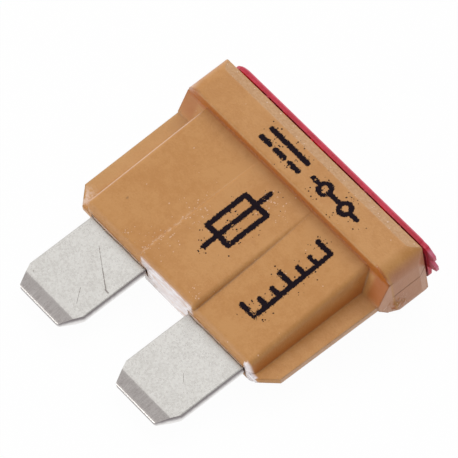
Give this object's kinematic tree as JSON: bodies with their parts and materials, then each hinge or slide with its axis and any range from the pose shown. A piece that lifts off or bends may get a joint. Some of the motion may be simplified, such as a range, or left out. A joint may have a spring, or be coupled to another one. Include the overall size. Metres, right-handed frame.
{
  "type": "automotive blade fuse",
  "caption": "Blade fuse: moulded housing with a thicker head and thin side fins, flat tinned blades joined by a hidden fusible link, and a coloured cap plate on the head.",
  "frame": {"origin": "middle of the housing's bottom face, between the blades, on the mid-plane of the sheet", "axes": "+Y from the blade tips up to the cap, +Z out of the printed face, +X across the width to the right when the print is read"},
  "size_m": [0.0194, 0.0194, 0.0052],
  "materials": {
    "housing_plastic": "satin moulded plastic, tan",
    "tinned_metal": "dull tin plating",
    "cap_plastic": "satin moulded plastic, red"
  },
  "bodies": {
    "root": {"housing": "housing_plastic", "fuse_element": "tinned_metal", "top_cap": "cap_plastic"}
  },
  "joints": []
}
